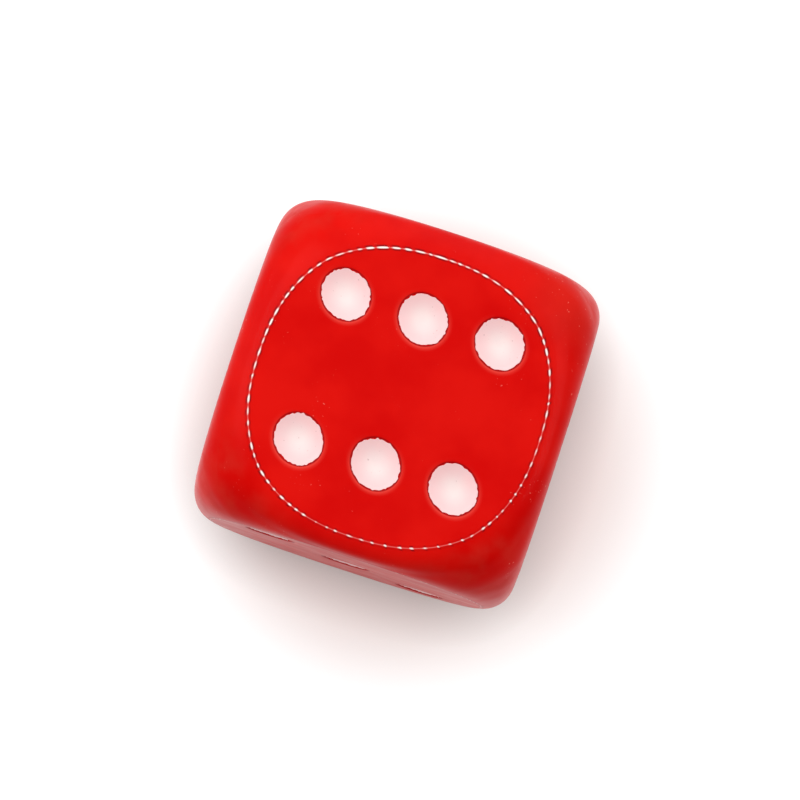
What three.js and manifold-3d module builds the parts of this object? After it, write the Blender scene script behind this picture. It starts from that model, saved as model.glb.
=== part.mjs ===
// Six-sided die: a moulded plastic body with rounded edges, and a drop of enamel in each of its 21 dimples.
import * as THREE from 'three';
import { ConvexGeometry } from 'three/addons/geometries/ConvexGeometry.js';
import { mergeVertices } from 'three/addons/utils/BufferGeometryUtils.js';
import Module from 'manifold-3d';

// Driving dimensions, in millimetres
const side = 16; // across opposite flats
const edgeRadius = 1.41; // rounding at the middle of an edge
const cornerRadius = 3.12; // rounding at a corner
const skim = 0.02; // ground off each moulded face, which leaves a crisp rim round its flat
const pipPitch = 3.77; // from the middle of a face to its outer pips
const sixRowPitch = 3.55; // from the middle of the six to either row of three
const dimpleLength = 2.54; // along the mould's pull
const dimpleWidth = 2.28; // across it
const dimpleDepth = 0.62;
const enamelThickness = 0.16; // at the middle of a dimple
const enamelDrop = 0.03; // from the flat down to the edge of the enamel
const enamelGap = 0.03; // clearance between enamel and plastic

// The two halves of the mould open along a body diagonal, and draw every dimple out along its trace.
const mouldPull = new THREE.Vector3(1, -1, 1);

// Facets
const azimuthSteps = 48; // round each face
const tiltSteps = 5; // from a face's flat to the middle of its edges
const dimpleSides = 24;
const bowlSteps = 3; // from the middle of a dimple to its rim

// Finishes
const redPlastic = { color: 0xdb150f, roughness: 0.2, metalness: 0 };
const whiteEnamel = { color: 0xf5e4e1, roughness: 0.4, metalness: 0 };

// The six faces, opposite ones adding up to seven. Each has its outward and rightward directions, and its
// pips' places to the right of its middle and up from it.
const middle = [0, 0];
const falling = [[-pipPitch, pipPitch], [pipPitch, -pipPitch]];
const rising = [[pipPitch, pipPitch], [-pipPitch, -pipPitch]];
const rows = [sixRowPitch, -sixRowPitch].flatMap((up) => [-pipPitch, 0, pipPitch].map((right) => [right, up]));
const faces = [
  { name: 'one', out: [0, 0, -1], right: [1, 0, 0], pips: [middle] },
  { name: 'two', out: [1, 0, 0], right: [0, 1, 0], pips: falling },
  { name: 'three', out: [0, -1, 0], right: [1, 0, 0], pips: [...falling, middle] },
  { name: 'four', out: [0, 1, 0], right: [-1, 0, 0], pips: [...falling, ...rising] },
  { name: 'five', out: [-1, 0, 0], right: [0, -1, 0], pips: [...falling, ...rising, middle] },
  { name: 'six', out: [0, 0, 1], right: [1, 0, 0], pips: rows },
];

const wasm = await Module();
wasm.setup();

// A closed geometry as a solid, without the flat triangles that a lathe leaves on its axis.
function solidOf(geometry) {
  const bare = geometry.clone();
  bare.deleteAttribute('normal');
  bare.deleteAttribute('uv');
  const merged = mergeVertices(bare, 1e-5);
  const triangles = [];
  for (let i = 0; i < merged.index.count; i += 3) {
    const triangle = [0, 1, 2].map((k) => merged.index.getX(i + k));
    if (new Set(triangle).size === 3) triangles.push(...triangle);
  }
  return new wasm.Manifold(new wasm.Mesh({
    numProp: 3,
    vertProperties: merged.attributes.position.array,
    triVerts: new Uint32Array(triangles),
  }));
}

// A solid back as a geometry.
function geometryOf(solid) {
  const mesh = solid.getMesh();
  const geometry = new THREE.BufferGeometry();
  geometry.setAttribute('position', new THREE.BufferAttribute(mesh.vertProperties, 3));
  geometry.setIndex(new THREE.BufferAttribute(mesh.triVerts, 1));
  geometry.computeVertexNormals();
  return geometry;
}

// Frame of a face: X to its right, Y up it, Z out of it.
function faceFrame({ out, right }) {
  const outward = new THREE.Vector3(...out);
  const rightward = new THREE.Vector3(...right);
  const upward = new THREE.Vector3().crossVectors(outward, rightward);
  return new THREE.Matrix4().makeBasis(rightward, upward, outward);
}

// The moulded blank is the hull of balls that each lie against two or three of its faces. They grow from the
// middle of an edge to the corner, and touch a face along a superellipse, the rim of its flat.
const half = side / 2;
const blankHalf = half + skim;
const rimReach = blankHalf - edgeRadius;
const rimPower = Math.LN2 / Math.log(rimReach / (blankHalf - cornerRadius));

// The point where the blank's surface looks in a direction, which isn't straight out of a face.
function blankPoint(direction) {
  const parts = direction.toArray();
  const axes = [0, 1, 2].sort((a, b) => Math.abs(parts[a]) - Math.abs(parts[b]));
  const [least, medium, most] = axes.map((axis) => Math.abs(parts[axis]));
  // The ball that reaches furthest this way, by where it touches the rim
  const across = medium + most - 1;
  const along = Math.min(least, across);
  const spread = (across ** (rimPower / (rimPower - 1)) + along ** (rimPower / (rimPower - 1))) ** (1 / rimPower);
  const touchAcross = (rimReach * across ** (1 / (rimPower - 1))) / spread;
  const touchAlong = (rimReach * along ** (1 / (rimPower - 1))) / spread;
  const point = direction.clone().multiplyScalar(blankHalf - touchAcross);
  [touchAlong, touchAcross, touchAcross].forEach((touch, i) => {
    const axis = axes[i];
    point.setComponent(axis, point.getComponent(axis) + Math.sign(parts[axis]) * touch);
  });
  return point;
}

// The blank, sampled round each face in rings of directions that tilt from its flat towards its edges.
function blankGeometry() {
  const points = [];
  for (const face of faces) {
    const frame = faceFrame(face);
    for (let i = 0; i < azimuthSteps; i += 1) {
      const azimuth = (2 * Math.PI * i) / azimuthSteps;
      const [right, up] = [Math.cos(azimuth), Math.sin(azimuth)];
      const edgeTilt = Math.atan(1 / Math.max(Math.abs(right), Math.abs(up)));
      for (let j = 0; j < tiltSteps; j += 1) {
        const tilt = (edgeTilt * (j + 0.5)) / tiltSteps;
        const direction = new THREE.Vector3(right * Math.sin(tilt), up * Math.sin(tilt), Math.cos(tilt));
        points.push(blankPoint(direction.applyMatrix4(frame)));
      }
    }
  }
  return new ConvexGeometry(points);
}

// A dimple is a shallow bowl, part of a ball, drawn out into an oval.
const dimpleRadius = (dimpleLength + dimpleWidth) / 4;

// Height of a bowl's wall at a distance from its axis, with the rim at zero.
function bowlHeight(radius, depth, distance) {
  const ball = (radius ** 2 + depth ** 2) / (2 * depth);
  return ball - depth - Math.sqrt(ball ** 2 - distance ** 2);
}

// Distance from the axis at which a bowl's wall has the given height.
function bowlDistance(radius, depth, height) {
  const ball = (radius ** 2 + depth ** 2) / (2 * depth);
  return Math.sqrt(ball ** 2 - (ball - depth - height) ** 2);
}

// Points of a bowl's wall from its middle to its rim.
function bowlProfile(radius, depth) {
  return Array.from({ length: bowlSteps + 1 }, (_, i) => {
    const distance = (radius * i) / bowlSteps;
    return new THREE.Vector2(distance, bowlHeight(radius, depth, distance));
  });
}

// A profile turned about Z and drawn out along X.
function ovalGeometry(profile) {
  const geometry = new THREE.LatheGeometry(profile, dimpleSides);
  geometry.rotateX(Math.PI / 2);
  geometry.scale(dimpleLength / (2 * dimpleRadius), dimpleWidth / (2 * dimpleRadius), 1);
  return geometry;
}

// What is cut out of the body for a dimple: the bowl, and as much again above the flat.
function dimpleGeometry() {
  const above = dimpleDepth;
  const lid = [new THREE.Vector2(dimpleRadius, above), new THREE.Vector2(0, above)];
  return ovalGeometry([...bowlProfile(dimpleRadius, dimpleDepth), ...lid]);
}

// A drop of enamel: its underside follows the dimple and its top is a shallower bowl.
function enamelGeometry() {
  const edge = bowlDistance(dimpleRadius, dimpleDepth, -enamelDrop - enamelGap);
  const under = bowlProfile(dimpleRadius, dimpleDepth).filter((point) => point.x < edge);
  under.forEach((point) => { point.y += enamelGap; });
  const topDepth = dimpleDepth - enamelGap - enamelThickness - enamelDrop;
  const top = bowlProfile(edge, topDepth).reverse();
  top.forEach((point) => { point.y -= enamelDrop; });
  return ovalGeometry([...under, ...top]);
}

// The die: each pip stands in the frame of its face, turned so that its length follows the mould's pull.
const die = new THREE.Group();
for (const face of faces) {
  const frame = faceFrame(face);
  const pull = mouldPull.clone().applyMatrix4(frame.clone().transpose());
  const group = new THREE.Group();
  group.applyMatrix4(frame);
  face.pips.forEach(([right, up], i) => {
    const pip = new THREE.Mesh(enamelGeometry(), new THREE.MeshStandardMaterial(whiteEnamel));
    pip.name = `pip_${face.name}_${i + 1}`;
    pip.position.set(right, up, half);
    pip.rotation.z = Math.atan2(pull.y, pull.x);
    group.add(pip);
  });
  die.add(group);
}
die.updateMatrixWorld(true);

// The body: the blank ground to size, with a dimple under each pip.
let body = solidOf(blankGeometry()).intersect(solidOf(new THREE.BoxGeometry(side, side, side)));
die.traverse((pip) => {
  if (pip.isMesh) body = body.subtract(solidOf(dimpleGeometry().applyMatrix4(pip.matrixWorld)));
});
const dieBody = new THREE.Mesh(geometryOf(body), new THREE.MeshStandardMaterial(redPlastic));
dieBody.name = 'die_body';
die.add(dieBody);

export default die;
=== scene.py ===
"""Looks of the six-sided die.

Polished red plastic with a burred rim round each flat, and a drop of white enamel in each dimple.
"""
import math

import bmesh
import bpy
import numpy as np
from mathutils import Matrix, Vector
from mathutils.geometry import delaunay_2d_cdt


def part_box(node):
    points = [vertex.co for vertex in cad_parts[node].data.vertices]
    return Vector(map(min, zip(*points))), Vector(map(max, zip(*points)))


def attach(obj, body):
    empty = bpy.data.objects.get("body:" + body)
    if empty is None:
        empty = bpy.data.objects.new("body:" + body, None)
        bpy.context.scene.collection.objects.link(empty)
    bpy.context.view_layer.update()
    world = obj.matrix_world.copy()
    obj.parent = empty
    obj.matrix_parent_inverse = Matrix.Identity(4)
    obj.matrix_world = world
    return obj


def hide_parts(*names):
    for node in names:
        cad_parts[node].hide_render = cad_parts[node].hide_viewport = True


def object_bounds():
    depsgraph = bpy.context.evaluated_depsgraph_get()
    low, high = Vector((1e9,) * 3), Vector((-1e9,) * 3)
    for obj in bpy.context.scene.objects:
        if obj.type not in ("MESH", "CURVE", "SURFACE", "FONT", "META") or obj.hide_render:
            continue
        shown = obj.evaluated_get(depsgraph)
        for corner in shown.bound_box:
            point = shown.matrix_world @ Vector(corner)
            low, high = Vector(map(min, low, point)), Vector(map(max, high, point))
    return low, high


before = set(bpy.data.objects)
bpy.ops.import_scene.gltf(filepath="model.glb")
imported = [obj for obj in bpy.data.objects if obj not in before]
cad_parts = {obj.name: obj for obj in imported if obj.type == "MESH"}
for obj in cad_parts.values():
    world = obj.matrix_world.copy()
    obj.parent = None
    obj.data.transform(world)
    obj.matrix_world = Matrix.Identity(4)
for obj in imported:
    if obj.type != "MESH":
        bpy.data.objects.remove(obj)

MM = 0.001  # one millimetre in the scene's metres; the sizes below are in millimetres
cad_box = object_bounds()
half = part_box("die_body")[1].z / MM

# Shape of the solid model
EDGE_RADIUS = 1.41  # rounding at the middle of an edge
CORNER_RADIUS = 3.12  # rounding at a corner
SKIM = 0.02  # ground off each moulded face, which leaves a rim round its flat
DIMPLE_LENGTH = 2.54  # along the mould's pull
DIMPLE_WIDTH = 2.28  # across it
DIMPLE_DEPTH = 0.62
MOULD_PULL = np.array((1.0, -1.0, 1.0))

# Fine shape of the plastic
SINK = 0.012  # from the solid's flats down to these, so that the burrs stay inside its box
SIX_RIM_SHIFT = np.array((0.066, -0.27))  # the six was ground a little off its middle
SEAM_HEIGHT = 0.006  # of the mould's parting line
DIMPLE_ROUNDING = 0.06  # between a flat and a dimple's wall

# The broken burr along a rim, with a painted white glint along its nicks
BURR_HEIGHT = 0.010
BURR_STEP = 0.040  # between its rings
BURR_PROFILE = (  # each ring's steps out from the rim, and its shares of the height and of the painted shade beside the burr
    (-4, 0, 0), (-3, 0, 0.3), (-2, 0, 1),
    (-1, 0.4, 0.2), (0, 1, 0), (1, 0.4, 0.2),
    (2, 0, 1), (3, 0, 0.5), (4, 0, 0),
)
BURR_SHARE = {"three": 0.5}  # of a face that is less burred than the others
FAINTEST_BURR = 0.24  # as a share of the strongest
LEAST_PAINTED_SHADE = 0.2  # painted shade beside the faintest burr, as a share of the most
HEAVIEST_BURR = {"six": 108, "three": -90}  # degrees round the rim, anticlockwise from the face's right
HEAVY_SPREAD = 0.8  # how far round the rim the heavy side goes
NICK_LENGTH, NICK_GROWTH = (0.08, 0.22), (0.05, 0.4)  # on the light side, and what the heavy side adds
NICK_GAP, GAP_GROWTH = (0.08, 0.2), (0.0, 0.4)  # on the heavy side, and what the light side adds
NICK_LEVEL = (0.5, 1.0)

# Painted lines round a dimple: a dark line of painted shade and a pale crescent of painted highlight
SHADE_LINE_MIDDLE = 0.015  # from a dimple's rim out to the middle of the dark line of painted shade round it
SHADE_LINE_REACH = 0.055  # from there to where the line ends
SHADE_LINE_STRENGTH = 0.65  # of that painted shade, as a share of the darkest beside a burr
CRESCENT_TURN = -0.7  # where the pale crescent of painted highlight is strongest, on the rounding's side that faces the light, in radians from the mould's pull
PAINTED_HIGHLIGHT_STRENGTH = 0.8

# Fine shape of the enamel
ENAMEL_GAP = 0.003  # clearance over the plastic
ENAMEL_EDGE = -0.036  # from a dimple's rim to the enamel's mean edge
SPARING_FILL = {"three": 0.07}  # how much further in the enamel ends on a face that got less of it
ENAMEL_DROP = 0.03  # from the flat down to the enamel at its edge
ENAMEL_DEPTH = 0.35  # from the flat down to the enamel at the middle
ENAMEL_BOWL_POWER = 1.7  # between a cone, at 1, and a bowl, at 2
RAGS = ((66, 0.034), (13, 0.018))  # knots round the edge, and how far they lie off it, fine and coarse
KNOT_SHIFT = 0.35  # of a knot along the edge, as a share of the way between knots
MOST_SPILLS = 2  # over the rim of one dimple
SPILL_SIZE = (0.02, 0.06)
SPILL_SHAPE = np.array((0.5, 1, 0.4))

# Facets
AZIMUTHS = 576  # round each rim
FILLET_STEPS = 11  # from a rim to the middle of the edges
SEAM_START = 0.955  # where on that way the parting line starts to rise
DIMPLE_SIDES = 72
DIMPLE_RINGS = (  # distances from a dimple's rim
    -1.05, -0.8, -0.55, -0.32, -0.18, -0.11, -0.07, -0.04, -0.02, 0.0, 0.02, 0.04, 0.07, 0.11, 0.16,
)
DIMPLE_OUTSIDE = 0.26  # the last ring, level with the flat
ENAMEL_SIDES = 144
TOP_SHARES = (  # of the way from the middle of a drop of enamel to its edge
    0.12, 0.26, 0.4, 0.54, 0.66, 0.76, 0.84, 0.9, 0.94, 0.97, 0.985, 1.0,
)
UNDER_SHARES = (1.0, 0.985, 0.94, 0.84, 0.66, 0.4)
GRID = 0.55  # between points inside a flat
TINY = 1e-7  # shorter than any distance between points that stay apart, also in metres
LEAST_TILT = 1e-3  # at which the search for a rim starts, in radians
RIM_HALVINGS = 40  # steps of that search
EQUAL = 1e-6  # two parts of a direction that differ by less count as equal

# The faces, each with its outward and rightward directions
FACES = {
    "one": ((0, 0, -1), (1, 0, 0)),
    "two": ((1, 0, 0), (0, 1, 0)),
    "three": ((0, -1, 0), (1, 0, 0)),
    "four": ((0, 1, 0), (-1, 0, 0)),
    "five": ((-1, 0, 0), (0, -1, 0)),
    "six": ((0, 0, 1), (1, 0, 0)),
}

flat_height = half - SINK
blank_half = flat_height + SKIM
rim_reach = blank_half - EDGE_RADIUS
rim_power = math.log(2) / math.log(rim_reach / (blank_half - CORNER_RADIUS))
dimple_radius = (DIMPLE_LENGTH + DIMPLE_WIDTH) / 4
dimple_ball = (dimple_radius ** 2 + DIMPLE_DEPTH ** 2) / (2 * DIMPLE_DEPTH)


def face_axes(name):
    """A face's rightward, upward and outward directions as the rows of a matrix."""
    out, right = (np.array(axis, float) for axis in FACES[name])
    return np.array((right, np.cross(out, right), out))


def face_pips(name):
    """Names of a face's pips, with their places to the right of its middle and up from it."""
    axes = face_axes(name)
    found = []
    for node in sorted(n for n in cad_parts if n.startswith(f"pip_{name}_")):
        low, high = (np.array(corner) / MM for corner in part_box(node))
        found.append((node, (axes @ ((low + high) / 2))[:2]))
    return found


def pull_angle(name):
    """Angle of the mould's pull on a face, anticlockwise from its right."""
    right, up, _ = face_axes(name) @ MOULD_PULL
    return math.atan2(up, right)


def turns(sides):
    """Angles of a closed ring's points."""
    return 2 * math.pi * np.arange(sides) / sides


def ring_faces(rings, sides):
    """Quads between successive closed rings of points, the inner ring first."""
    faces = []
    for ring in range(rings - 1):
        for i in range(sides):
            j = (i + 1) % sides
            inner, outer = ring * sides, (ring + 1) * sides
            faces.append((inner + i, outer + i, outer + j, inner + j))
    return faces


def cap(middle, ring, sides):
    """Triangles from a middle point out to a ring."""
    return [(middle, ring + i, ring + (i + 1) % sides) for i in range(sides)]


def smooth_step(share):
    """A share from 0 to 1 that starts and ends gently."""
    share = np.clip(share, 0, 1)
    return share * share * (3 - 2 * share)


# The rounded blank

def directions(azimuth, tilt):
    """Unit directions that tilt from straight out of a face towards an azimuth."""
    return np.stack([np.cos(azimuth) * np.sin(tilt), np.sin(azimuth) * np.sin(tilt), np.cos(tilt)], -1)


def blank_points(looks):
    """Points of the blank where its surface looks in directions out of a face, and the local radius."""
    sides = np.abs(looks[..., :2])
    across = sides.max(-1) + looks[..., 2] - 1
    along = np.minimum(sides.min(-1), across)
    reach_power, spread_power = 1 / (rim_power - 1), rim_power / (rim_power - 1)
    spread = (across ** spread_power + along ** spread_power) ** (1 / rim_power)
    touch_across = rim_reach * across ** reach_power / spread
    touch_along = rim_reach * along ** reach_power / spread
    first = sides[..., 0] >= sides[..., 1]
    touch = np.stack([
        np.where(first, touch_across, touch_along),
        np.where(first, touch_along, touch_across),
        touch_across,
    ], -1)
    radius = blank_half - touch_across
    return looks * radius[..., None] + np.sign(looks) * touch, radius


def edge_tilts(azimuth):
    """Tilt at which a face meets its neighbours."""
    return np.arctan(1 / np.maximum(np.abs(np.cos(azimuth)), np.abs(np.sin(azimuth))))


def rim_tilts(azimuth):
    """Tilt at which the blank meets the ground flat, by halving."""
    low, high = np.full_like(azimuth, LEAST_TILT), edge_tilts(azimuth)
    for _ in range(RIM_HALVINGS):
        middle = (low + high) / 2
        above = blank_points(directions(azimuth, middle))[0][:, 2] > flat_height
        low, high = np.where(above, middle, low), np.where(above, high, middle)
    return high


def on_seam(looks):
    """Whether points between faces lie on the parting line, which keeps clear of two corners."""
    most = np.abs(looks).max(-1, keepdims=True)
    leading = np.abs(looks) > most - EQUAL
    signs = np.sign(looks) * MOULD_PULL
    return (leading & (signs > 0)).any(-1) & (leading & (signs < 0)).any(-1)


def nicks(points, heaviest, random):
    """How strongly the rim is burred at its points, 0 to 1.

    The nicks are spindles, longest and closest together on the rim's heaviest side.
    """
    steps = np.linalg.norm(np.roll(points, -1, 0) - points, axis=1)
    arc = np.concatenate([[0], np.cumsum(steps)[:-1]])
    toward = np.cos(np.arctan2(points[:, 1], points[:, 0]) - heaviest)
    strength = np.full(len(points), FAINTEST_BURR)
    start = 0.0
    while start < steps.sum():
        heavy = smooth_step(HEAVY_SPREAD + HEAVY_SPREAD * np.interp(start, arc, toward))
        length = random.uniform(*NICK_LENGTH) + heavy * random.uniform(*NICK_GROWTH)
        gap = random.uniform(*NICK_GAP) + (1 - heavy) * random.uniform(*GAP_GROWTH)
        level = random.uniform(*NICK_LEVEL)
        middle = start + length / 2
        spindle = np.clip(1 - ((arc - middle) / (length / 2)) ** 2, 0, 1)
        strength = np.maximum(strength, level * np.sqrt(spindle))
        start += length + gap
    return strength


def burr_rings(name, azimuth, rim, random):
    """Rings across a face's rim from its flat outwards, with their painted glint and painted shade."""
    rim_look = directions(azimuth, rim)
    rim_point, radius = blank_points(rim_look)
    outward = directions(azimuth, np.full(AZIMUTHS, math.pi / 2))
    bead_look = rim_look + (0, 0, 1)
    bead_look /= np.linalg.norm(bead_look, axis=1, keepdims=True)
    heaviest = math.radians(HEAVIEST_BURR.get(name, random.uniform(0, 360)))
    # the nicks set both the burr's height and its painted white glint
    burr = BURR_SHARE.get(name, 1.0) * nicks(rim_point, heaviest, random)
    # painted shade along the burr, darkest beside its strongest nicks
    shade_level = LEAST_PAINTED_SHADE + (1 - LEAST_PAINTED_SHADE) * smooth_step(2 * (burr - FAINTEST_BURR))
    rings, painted_glint, painted_shade = [], [], []
    for step, rise, shade_share in BURR_PROFILE:
        distance = step * BURR_STEP
        if step <= 0:
            ring = rim_point + outward * distance
        else:
            ring = blank_points(directions(azimuth, rim + distance / radius))[0]
        rings.append(ring + bead_look * (BURR_HEIGHT * rise * burr)[:, None])
        painted_glint.append(rise * burr)
        painted_shade.append(shade_share * shade_level)
    return rings, {"painted_glint": np.ravel(painted_glint), "painted_shade": np.ravel(painted_shade)}


def fillet_rings(name, azimuth, start):
    """Rings over a face's rounding, from a tilt out to its neighbours, where the parting line runs."""
    edge = edge_tilts(azimuth)
    rings = []
    for share in np.append(np.arange(1, FILLET_STEPS) / FILLET_STEPS, (SEAM_START, 1.0)):
        look = directions(azimuth, start + (edge - start) * share)
        ring = blank_points(look)[0]
        if share == 1.0:
            ring += look * (SEAM_HEIGHT * on_seam(look @ face_axes(name)))[:, None]
        rings.append(ring)
    return rings


def rim_skin(name, random):
    """A face's rim and rounding in rings from its flat out to its neighbours, with their painted glint
    and painted shade.
    """
    azimuth = turns(AZIMUTHS)
    rim = rim_tilts(azimuth)
    radius = blank_points(directions(azimuth, rim))[1]
    burred, marks = burr_rings(name, azimuth, rim, random)
    smooth = fillet_rings(name, azimuth, rim + BURR_PROFILE[-1][0] * BURR_STEP / radius)
    clean = np.zeros(len(smooth) * AZIMUTHS)
    return np.array(burred + smooth), {mark: np.append(values, clean) for mark, values in marks.items()}


def six_shifted(points):
    """Points of the roundings, drawn along with the six's rim.

    They move most at its height, and not at all at its neighbours' rims.
    """
    lowest = rim_reach + EDGE_RADIUS * math.sin(math.acos(1 - SKIM / EDGE_RADIUS))
    share = smooth_step((points[..., 2] - lowest) / (flat_height - lowest))
    moved = points.copy()
    moved[..., :2] += SIX_RIM_SHIFT * share[..., None]
    return moved


# Dimples

def oval(angle, distance, sides):
    """Points at distances from a dimple's rim, negative inside it, and turned by an angle."""
    scale = 1 + distance / dimple_radius
    along = DIMPLE_LENGTH / 2 * scale * np.cos(turns(sides))
    across = DIMPLE_WIDTH / 2 * scale * np.sin(turns(sides))
    cosine, sine = math.cos(angle), math.sin(angle)
    return np.stack([along * cosine - across * sine, along * sine + across * cosine], -1)


def dimple_height(distance):
    """Height of the plastic over the flat at distances from a dimple's rim."""
    reach = np.minimum(dimple_radius + distance, dimple_radius)
    wall = dimple_ball - DIMPLE_DEPTH - np.sqrt(dimple_ball ** 2 - reach ** 2)
    steepness = dimple_radius / (dimple_ball - DIMPLE_DEPTH)
    wall = wall + steepness * np.maximum(distance, 0)
    return -DIMPLE_ROUNDING * np.logaddexp(0, -wall / DIMPLE_ROUNDING)


dimple_bottom = dimple_height(np.array(-dimple_radius))


def dimple_marks():
    """The dark line of painted shade and the pale crescent of painted highlight round a dimple, at the
    points of its rings and its middle.
    """
    distance = np.array(DIMPLE_RINGS)[:, None]
    # a dark line of painted shade where the rim meets the flat
    painted_shade = np.repeat(1 - smooth_step(abs(distance - SHADE_LINE_MIDDLE) / SHADE_LINE_REACH), DIMPLE_SIDES, 1)
    # painted highlight on the rounding outside the rim, lightest on the side that faces the light
    band = smooth_step(distance / SHADE_LINE_REACH) * (1 - smooth_step(distance / DIMPLE_OUTSIDE))
    pale = band * (0.5 + 0.5 * np.cos(turns(DIMPLE_SIDES) - CRESCENT_TURN))
    rest = np.zeros(DIMPLE_SIDES + 1)
    return {
        "painted_shade": np.append(SHADE_LINE_STRENGTH * painted_shade, rest),
        "pale": np.append(PAINTED_HIGHLIGHT_STRENGTH * pale, rest),
    }


def dimple_skin(place, angle):
    """Points and faces of a dimple, rings first and then its middle, and its outline on the flat."""
    rings = []
    for distance in DIMPLE_RINGS:
        height = np.full((DIMPLE_SIDES, 1), dimple_height(np.array(distance)))
        rings.append(np.hstack([oval(angle, distance, DIMPLE_SIDES), height]))
    rings.append(np.hstack([oval(angle, DIMPLE_OUTSIDE, DIMPLE_SIDES), np.zeros((DIMPLE_SIDES, 1))]))
    points = np.vstack([*rings, (0, 0, dimple_bottom)]) + np.append(place, flat_height)
    middle = len(points) - 1
    faces = ring_faces(len(rings), DIMPLE_SIDES) + cap(middle, 0, DIMPLE_SIDES)
    return points, faces, points[middle - DIMPLE_SIDES:middle, :2]


# Flats

def inside(points, hull):
    """Which points lie inside a convex ring that runs anticlockwise."""
    along = np.roll(hull, -1, 0) - hull
    away = points[:, None] - hull
    return (along[:, 0] * away[..., 1] - along[:, 1] * away[..., 0] > 0).all(1)


def flat_grid(border, holes):
    """Staggered points inside a border and outside holes, a little clear of both."""
    steps = np.arange(-half, half, GRID)
    grid = np.array([(x + GRID / 2 * (row % 2), y) for row, y in enumerate(steps) for x in steps])
    for hull in (border, *holes):
        clear = np.linalg.norm(grid[:, None] - hull, axis=2).min(1) > GRID / 2
        grid = grid[clear & (inside(grid, hull) == (hull is border))]
    return grid


def flat_skin(border, holes):
    """Points and triangles of a flat between its border and the outlines of its dimples."""
    points = np.vstack([border, *holes, flat_grid(border, holes)])
    hole_of = np.zeros(len(points), int)  # 0 for points of the border and the grid
    edges, start = [], 0
    for number, hull in enumerate((border, *holes)):
        hole_of[start:start + len(hull)] = number
        edges += [(start + i, start + (i + 1) % len(hull)) for i in range(len(hull))]
        start += len(hull)
    made, _, triangles, sources, *_ = delaunay_2d_cdt([Vector(p) for p in points], edges, [], 0, TINY)
    hole_of = hole_of[[source[0] for source in sources]]
    kept = [t for t in triangles if hole_of[t[0]] == 0 or len({hole_of[i] for i in t}) > 1]
    return np.array(made), kept


# Pieces

def new_object(name, data):
    """A new object in the scene."""
    made = bpy.data.objects.new(name, data)
    bpy.context.scene.collection.objects.link(made)
    return made


class Skin:
    """Points and faces of one mesh, gathered from patches, with named marks at its points."""

    def __init__(self, *marks):
        self.points, self.faces = [], []
        self.marks = {mark: [] for mark in marks}

    def add(self, points, faces, marks=None):
        """Adds a patch, which has none of the marks that it doesn't give."""
        start = len(self.points)
        self.points += [tuple(p) for p in points]
        self.faces += [tuple(start + i for i in face) for face in faces]
        for mark, values in self.marks.items():
            values.extend((marks or {}).get(mark, np.zeros(len(points))))

    def piece(self, name, material):
        """A smooth piece of a material, with its patches welded together."""
        mesh = bpy.data.meshes.new(name)
        mesh.from_pydata([tuple(c * MM for c in p) for p in self.points], [], self.faces)
        for mark, values in self.marks.items():
            attribute = mesh.attributes.new(mark, "FLOAT", "POINT")
            attribute.data.foreach_set("value", np.array(values, np.float32))
        work = bmesh.new()
        work.from_mesh(mesh)
        bmesh.ops.remove_doubles(work, verts=work.verts, dist=TINY)
        for face in work.faces:
            face.smooth = True
        work.to_mesh(mesh)
        work.free()
        mesh.materials.append(material)
        return new_object(name, mesh)


def body_skin(random):
    """The whole plastic body, closed across its six faces."""
    skin = Skin("painted_glint", "painted_shade", "pale")
    for name in FACES:
        axes = face_axes(name)
        rings, marks = rim_skin(name, random)
        rings = six_shifted(rings @ axes)
        skin.add(rings.reshape(-1, 3), ring_faces(len(rings), AZIMUTHS), marks)
        holes = []
        for _, place in face_pips(name):
            points, faces, outline = dimple_skin(place, pull_angle(name))
            skin.add(points @ axes, faces, dimple_marks())
            holes.append(outline)
        border = (rings[0] @ axes.T)[:, :2]
        flat, triangles = flat_skin(border, holes)
        flat = np.hstack([flat, np.full((len(flat), 1), flat_height)])
        skin.add(flat @ axes, triangles)
    return skin


def ragged(knots, amount, random):
    """Random offsets round an edge of enamel, straight between their knots."""
    at = np.sort((np.arange(knots) + random.uniform(-KNOT_SHIFT, KNOT_SHIFT, knots)) / knots % 1)
    offsets = random.uniform(-amount, amount, knots)
    return np.interp(np.arange(ENAMEL_SIDES) / ENAMEL_SIDES, at, offsets, period=1)


def enamel_edge(name, random):
    """Distances from a dimple's rim to its enamel's ragged edge, with a spill here and there."""
    edge = ENAMEL_EDGE - SPARING_FILL.get(name, 0.0)
    for knots, amount in RAGS:
        edge = edge + ragged(knots, amount, random)
    for _ in range(random.integers(0, MOST_SPILLS + 1)):
        place, size = random.integers(ENAMEL_SIDES), random.uniform(*SPILL_SIZE)
        edge[[place - 1, place, (place + 1) % ENAMEL_SIDES]] += size * SPILL_SHAPE
    return edge


def enamel_ring(angle, distance, under):
    """A ring of a drop of enamel, on its top or its underside, and how far in from its edge it lies."""
    reach = (distance + dimple_radius) / (dimple_radius + ENAMEL_EDGE)
    height = dimple_height(distance) + ENAMEL_GAP
    if not under:
        bowl = -ENAMEL_DROP - (ENAMEL_DEPTH - ENAMEL_DROP) * (1 - reach ** ENAMEL_BOWL_POWER)
        height = np.maximum(bowl, height + ENAMEL_GAP)
    return np.column_stack([oval(angle, distance, ENAMEL_SIDES), height]), 1 - reach


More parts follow.
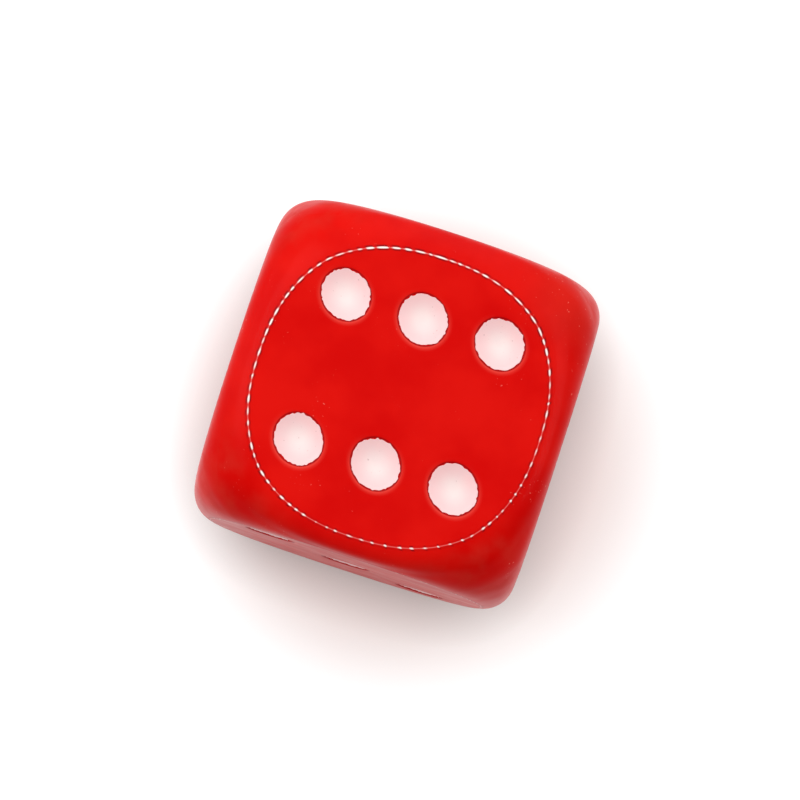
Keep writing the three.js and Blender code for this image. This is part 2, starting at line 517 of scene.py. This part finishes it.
def enamel_skin(name, place, random):
    """One drop of enamel: a ragged edge near the rim, a shallow bowl above and the dimple below."""
    edge = enamel_edge(name, random)
    rings, depth = [], []
    ways = [(share, False) for share in TOP_SHARES] + [(share, True) for share in UNDER_SHARES]
    for share, under in ways:
        distance = (dimple_radius + edge) * share - dimple_radius
        ring, ring_depth = enamel_ring(pull_angle(name), distance, under)
        rings.append(ring)
        depth.append(ring_depth)
    middles = [(0, 0, -ENAMEL_DEPTH), (0, 0, dimple_bottom + ENAMEL_GAP)]
    points = np.vstack([*rings, middles]) + np.append(place, flat_height)
    count = len(rings) * ENAMEL_SIDES
    faces = ring_faces(len(rings), ENAMEL_SIDES) + cap(count, 0, ENAMEL_SIDES)
    faces += [face[::-1] for face in cap(count + 1, count - ENAMEL_SIDES, ENAMEL_SIDES)]
    skin = Skin("depth")
    skin.add(points @ face_axes(name), faces, {"depth": np.append(np.ravel(depth), (1, 1))})
    return skin


# Nodes

def feed(tree, node, inputs):
    """Sets a node's inputs to values, or links them to other nodes' outputs."""
    for key, value in inputs.items():
        if isinstance(value, bpy.types.NodeSocket):
            tree.links.new(value, node.inputs[key])
        else:
            node.inputs[key].default_value = value


def add_node(tree, kind, inputs=None, **settings):
    """A new node with its settings and inputs."""
    node = tree.nodes.new(kind)
    for key, value in settings.items():
        setattr(node, key, value)
    feed(tree, node, inputs or {})
    return node


def new_material(name):
    """An empty node material with its shader, and texture coordinates in millimetres."""
    material = bpy.data.materials.new(name)
    material.use_nodes = True
    tree = material.node_tree
    tree.nodes.clear()
    shader = add_node(tree, "ShaderNodeBsdfPrincipled")
    add_node(tree, "ShaderNodeOutputMaterial", {"Surface": shader.outputs["BSDF"]})
    place = add_node(tree, "ShaderNodeTexCoord").outputs["Object"]
    scaled = add_node(tree, "ShaderNodeVectorMath", {0: place, "Scale": 1 / MM}, operation="SCALE")
    return material, tree, shader, scaled.outputs["Vector"]


def noise(tree, place, size, detail=2.0):
    """Smooth noise from 0 to 1 with features about as large as a size in millimetres."""
    inputs = {"Vector": place, "Scale": 1 / size, "Detail": detail}
    return add_node(tree, "ShaderNodeTexNoise", inputs).outputs["Fac"]


def between(tree, value, low, high, to_low=0.0, to_high=1.0):
    """A value's smooth passage between two levels."""
    inputs = {"Value": value, "From Min": low, "From Max": high, "To Min": to_low, "To Max": to_high}
    node = add_node(tree, "ShaderNodeMapRange", inputs, interpolation_type="SMOOTHSTEP")
    return node.outputs["Result"]


def patches(tree, place, size, start, end, detail=2.0, least=0.0, most=1.0):
    """Soft patches about as large as a size, which start and end at two levels of noise."""
    return between(tree, noise(tree, place, size, detail), start, end, least, most)


def maths(tree, operation, *values):
    """The result of an operation on values."""
    node = add_node(tree, "ShaderNodeMath", dict(enumerate(values)), operation=operation)
    return node.outputs["Value"]


def times(tree, first, second):
    """The product of two values."""
    return maths(tree, "MULTIPLY", first, second)


def larger(tree, first, second):
    """The larger of two values."""
    return maths(tree, "MAXIMUM", first, second)


def distance_from(tree, place, point):
    """Distance of the shaded place from a point."""
    node = add_node(tree, "ShaderNodeVectorMath", {0: place, 1: point}, operation="DISTANCE")
    return node.outputs["Value"]


MIX_FIRST, MIX_SECOND, MIX_RESULT = 6, 7, 2  # numbers of a mixing node's colour sockets


def mixed(tree, share, first, second):
    """A colour that goes from the first to the second."""
    inputs = {"Factor": share, MIX_FIRST: first, MIX_SECOND: second}
    return add_node(tree, "ShaderNodeMix", inputs, data_type="RGBA").outputs[MIX_RESULT]


def mark(tree, name):
    """A mark that the mesh carries at its points."""
    return add_node(tree, "ShaderNodeAttribute", attribute_name=name).outputs["Fac"]


def bumped(tree, ripples, depth):
    """The surface's direction where it has ripples of a depth in millimetres."""
    inputs = {"Strength": 1.0, "Distance": depth * MM, "Height": ripples}
    return add_node(tree, "ShaderNodeBump", inputs).outputs["Normal"]


# Red plastic

DARK_RED, LIGHT_RED = (0.66, 0.0008, 0.0002, 1), (0.74, 0.0046, 0.0020, 1)  # of its faint clouds
# worn corners: partly real dulling and partly a painted sheen of haze
DULL_AND_SHEEN_RED = (0.58, 0.05, 0.032, 1)
SCUFF_PINK = (0.9, 0.3, 0.24, 1)
# painted highlight: the pale crescent on the rounding round each dimple
PAINTED_HIGHLIGHT_RED = (0.85, 0.075, 0.055, 1)
# painted shade along the burrs and round the dimples' rims
PAINTED_SHADE_RED = (0.13, 0.001, 0.004, 1)
# painted glint: the burr's nicks are painted white, whatever the light
PAINTED_GLINT_WHITE = (1.0, 0.94, 0.89, 1)
DULL_AND_SHEEN_COVER, WORN_COVER, SCUFF_COVER = 0.24, 0.2, 0.4  # how much of the red they hide, at most; the dull red is partly a painted sheen at the corners
PAINTED_HIGHLIGHT_COVER, PAINTED_SHADE_COVER = 0.9, 0.95
DULL_ROUGHNESS = 0.12  # added where it is dullest
DULL_FROM, DULL_TO = half * 1.36, half * 1.44  # from the die's middle, where corners turn dull and take a painted sheen
FADE_FROM, FADE_TO = half * 1.33, half * 1.42  # the same, where the gloss fades
SCUFFED_PLACE = (6.4, 6.7, 6.4)  # middle of the most worn patch, at the corner of the two, four and six
SCUFFED_MIDDLE, SCUFFED_RADIUS = 0.8, 3.4  # where the patch is all worn, and where it ends


def plastic_wear(tree, place, from_middle):
    """How scuffed the plastic is, at its most worn corner, and how dull, in patches at every corner,
    where a painted sheen goes too.
    """
    from_scuff = distance_from(tree, place, SCUFFED_PLACE)
    scuffed = between(tree, from_scuff, SCUFFED_MIDDLE, SCUFFED_RADIUS, to_low=1.0, to_high=0.0)
    worn = larger(tree, between(tree, from_middle, DULL_FROM, DULL_TO), scuffed)
    dull = times(tree, worn, patches(tree, place, size=1.2, start=0.35, end=0.7, detail=3.0))
    return scuffed, dull


def plastic_colour(tree, place, scuffed, dull):
    """Clouds of red, worn dull places partly paled by a painted sheen, and pale scuffs, under painted
    highlight crescents, painted shade and painted white glints on the burrs.
    """
    clouds = patches(tree, place, size=3.0, start=0.3, end=0.7, detail=3.0)
    colour = mixed(tree, clouds, DARK_RED, LIGHT_RED)
    # dull corners, partly a painted sheen, and the worn scuffed corner
    dulling_and_sheen = larger(tree, times(tree, dull, DULL_AND_SHEEN_COVER), times(tree, scuffed, WORN_COVER))
    colour = mixed(tree, dulling_and_sheen, colour, DULL_AND_SHEEN_RED)
    struck = larger(tree, patches(tree, place, size=2.2, start=0.56, end=0.7), scuffed)
    specks = patches(tree, place, size=0.14, start=0.70, end=0.78, detail=1.0)
    scuffs = times(tree, struck, specks)
    colour = mixed(tree, times(tree, scuffs, SCUFF_COVER), colour, SCUFF_PINK)
    # painted highlight of the pale crescents round the dimples
    colour = mixed(tree, times(tree, mark(tree, "pale"), PAINTED_HIGHLIGHT_COVER), colour, PAINTED_HIGHLIGHT_RED)
    # painted shade lines beside the burrs and round the dimples
    colour = mixed(tree, times(tree, mark(tree, "painted_shade"), PAINTED_SHADE_COVER), colour, PAINTED_SHADE_RED)
    # painted white glint along the burr
    return mixed(tree, between(tree, mark(tree, "painted_glint"), low=0.1, high=0.6), colour, PAINTED_GLINT_WHITE)


def red_plastic():
    """Polished red plastic, worn by use and less glossy at its corners, with painted sheen, highlights,
    shade and glints in its colour.
    """
    material, tree, shader, place = new_material("red_plastic")
    from_middle = distance_from(tree, place, (0, 0, 0))
    scuffed, dull = plastic_wear(tree, place, from_middle)
    roughness = patches(tree, place, size=1.2, start=0.3, end=0.7, detail=3.0, least=0.29, most=0.36)
    feed(tree, shader, {
        "Base Color": plastic_colour(tree, place, scuffed, dull),
        "Roughness": maths(tree, "MULTIPLY_ADD", dull, DULL_ROUGHNESS, roughness),
        "Normal": bumped(tree, noise(tree, place, size=2.0, detail=1.0), depth=0.0004),
        "IOR": 1.11,
        "Specular IOR Level": between(tree, from_middle, FADE_FROM, FADE_TO, to_low=0.5, to_high=0.25),
        "Coat Weight": between(tree, from_middle, FADE_FROM, FADE_TO, to_low=0.14, to_high=0.04),
        "Coat IOR": 1.3,
        "Coat Roughness": 0.08,
    })
    return material


# White enamel

THIN_WHITE, DEEP_WHITE = (0.99, 0.63, 0.63, 1), (1.0, 0.815, 0.79, 1)
CLOUD_PINK = (0.93, 0.70, 0.71, 1)
SPECK_BROWN = (0.55, 0.30, 0.30, 1)
CLOUD_COVER, SPECK_COVER = 0.25, 0.5  # how much of the white they hide, at most


def white_enamel():
    """Soft white enamel, pink where it is thin towards its edge, with a few dark specks."""
    material, tree, shader, place = new_material("white_enamel")
    colour = mixed(tree, between(tree, mark(tree, "depth"), low=0.1, high=0.9), THIN_WHITE, DEEP_WHITE)
    clouds = patches(tree, place, size=0.7, start=0.35, end=0.75, detail=3.0)
    colour = mixed(tree, times(tree, clouds, CLOUD_COVER), colour, CLOUD_PINK)
    specks = patches(tree, place, size=0.16, start=0.72, end=0.8, detail=1.0)
    feed(tree, shader, {
        "Base Color": mixed(tree, times(tree, specks, SPECK_COVER), colour, SPECK_BROWN),
        "Roughness": patches(tree, place, size=0.5, start=0.3, end=0.7, least=0.28, most=0.42),
        "Normal": bumped(tree, noise(tree, place, size=0.25, detail=3.0), depth=0.004),
        "IOR": 1.2,
    })
    return material


# Stage

WHITE = (1, 1, 1, 1)
PAPER_GREY = (0.48, 0.48, 0.48, 1)
FLOOR_HALF = 2.0  # metres
FLOOR_GLOW = 0.73  # lifts the paper to white, outside the painted shadow round the die
SHADOW_GLOW = 0.50  # the same, at the die, where the lower glow paints a shadow
PAINTED_BOUNCE_TINT = (1.0, 0.86, 0.82, 1)  # painted red bounce light from the die, near it
# reach and middle of the painted shadow, which lies to the front and right, away from the light
SHADOW_RADIUS = 14.0
SHADOW_MIDDLE = (1.3, -0.7, -half)
CONTACT_REACH = 3  # from the die to where the painted contact shade on the paper's glow ends
SKY_ZENITH = 0.58  # radiance
SKY_HORIZON = 0.98
SKY_SIDE = 0.66  # how much brighter the light side is than the mean
LIGHT_HEADING = math.radians(132)  # of the light side, anticlockwise from +X
LAMPS = ((170, 41, 65), (26, 52, 130))  # heading, tilt from straight above in degrees, and distance
LAMP_WIDTH, LAMP_DEPTH = 0.95, 0.50  # across the line to the die, and along it, as shares of its length
LAMP_POWER, LAMP_NEAR = 0.0094, 65  # watts, at that distance; a lamp further off has more
CAMERA_PLACE = Vector((2.781, -18.58, 216.164))
CAMERA_AIM = Vector((0.145, -0.363, 8.0))
CAMERA_UP = math.radians(107.988)  # heading of the picture's upward direction, anticlockwise from +X
FOCAL_LENGTH, SENSOR_WIDTH = 202.5, 36
CLIP_NEAR, CLIP_FAR = 1 * MM, 10.0  # metres


def white_paper():
    """Paper that looks white to the camera and in reflections, with a painted shadow, painted contact
    shade and painted red bounce light round the die.
    """
    material, tree, shader, place = new_material("paper")
    path = add_node(tree, "ShaderNodeLightPath")
    seen = path.outputs["Is Camera Ray"]
    for other in ("Is Glossy Ray", "Is Transmission Ray"):
        seen = larger(tree, seen, path.outputs[other])
    away = distance_from(tree, place, SHADOW_MIDDLE)
    # the glow is lower near the die: a painted shadow over the real one
    glow = between(tree, away, half, SHADOW_RADIUS, SHADOW_GLOW, FLOOR_GLOW)
    # ambient occlusion dims the glow: painted contact shade
    contact = add_node(tree, "ShaderNodeAmbientOcclusion", {"Distance": CONTACT_REACH * MM})
    feed(tree, shader, {
        "Base Color": PAPER_GREY,
        "Roughness": 0.9,
        "Specular IOR Level": 0.0,
        # painted red bounce light near the die
        "Emission Color": mixed(tree, between(tree, away, half, SHADOW_RADIUS), PAINTED_BOUNCE_TINT, WHITE),
        "Emission Strength": times(tree, seen, times(tree, glow, contact.outputs["AO"])),
    })
    return material


def make_floor(height):
    """A sheet of white paper under the die, which keeps its shadow."""
    mesh = bpy.data.meshes.new("floor")
    corners = [(x * FLOOR_HALF, y * FLOOR_HALF, height) for x, y in ((-1, -1), (1, -1), (1, 1), (-1, 1))]
    mesh.from_pydata(corners, [], [(0, 1, 2, 3)])
    mesh.materials.append(white_paper())
    floor = new_object("floor", mesh)


def make_sky():
    """Soft light all round, brightest low down and on one side."""
    world = bpy.data.worlds.new("soft_light")
    bpy.context.scene.world = world
    world.use_nodes = True
    tree = world.node_tree
    look = add_node(tree, "ShaderNodeTexCoord").outputs["Generated"]
    height = add_node(tree, "ShaderNodeSeparateXYZ", {0: look}).outputs["Z"]
    level_inputs = {"Value": times(tree, height, height), "To Min": SKY_HORIZON, "To Max": SKY_ZENITH}
    level = add_node(tree, "ShaderNodeMapRange", level_inputs).outputs["Result"]
    light_side = (math.cos(LIGHT_HEADING), math.sin(LIGHT_HEADING), 0)
    side = add_node(tree, "ShaderNodeVectorMath", {0: look, 1: light_side}, operation="DOT_PRODUCT")
    factor = maths(tree, "MULTIPLY_ADD", side.outputs["Value"], SKY_SIDE, 1.0)
    feed(tree, tree.nodes["Background"], {"Color": WHITE, "Strength": times(tree, level, factor)})


def make_lamps():
    """Soft lamps above the die, which face it."""
    for heading, tilt, distance in LAMPS:
        data = bpy.data.lights.new("lamp", "AREA")
        data.shape = "RECTANGLE"
        data.size, data.size_y = LAMP_DEPTH * distance * MM, LAMP_WIDTH * distance * MM
        data.energy = LAMP_POWER * (distance / LAMP_NEAR) ** 2
        swing = Matrix.Rotation(math.radians(heading), 4, "Z")
        lean = Matrix.Rotation(math.radians(tilt), 4, "Y")
        new_object("lamp", data).matrix_world = swing @ lean @ Matrix.Translation((0, 0, distance * MM))


def make_camera():
    """The camera, nearly straight above the die."""
    data = bpy.data.cameras.new("camera")
    data.lens, data.sensor_width = FOCAL_LENGTH, SENSOR_WIDTH
    data.clip_start, data.clip_end = CLIP_NEAR, CLIP_FAR
    camera = new_object("camera", data)
    bpy.context.scene.camera = camera
    ahead = (CAMERA_AIM - CAMERA_PLACE).normalized()
    right = ahead.cross(Vector((math.cos(CAMERA_UP), math.sin(CAMERA_UP), 0))).normalized()
    turn = Matrix((right, right.cross(ahead), -ahead)).transposed()
    camera.matrix_world = Matrix.Translation(CAMERA_PLACE * MM) @ turn.to_4x4()


# The die

SEED = 6


def make_die():
    """The body and its 21 drops of enamel."""
    random = np.random.default_rng(SEED)
    plastic, enamel = red_plastic(), white_enamel()
    body = body_skin(random).piece("moulded_body", plastic)
    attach(body, "root")
    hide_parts("die_body")
    for name in FACES:
        for node, place in face_pips(name):
            drop = enamel_skin(name, place, random).piece(node.replace("pip", "enamel"), enamel)
            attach(drop, "root")
            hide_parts(node)


make_die()
make_floor(cad_box[0].z)
make_sky()
make_lamps()
make_camera()
bpy.context.scene.view_settings.view_transform = "Standard"
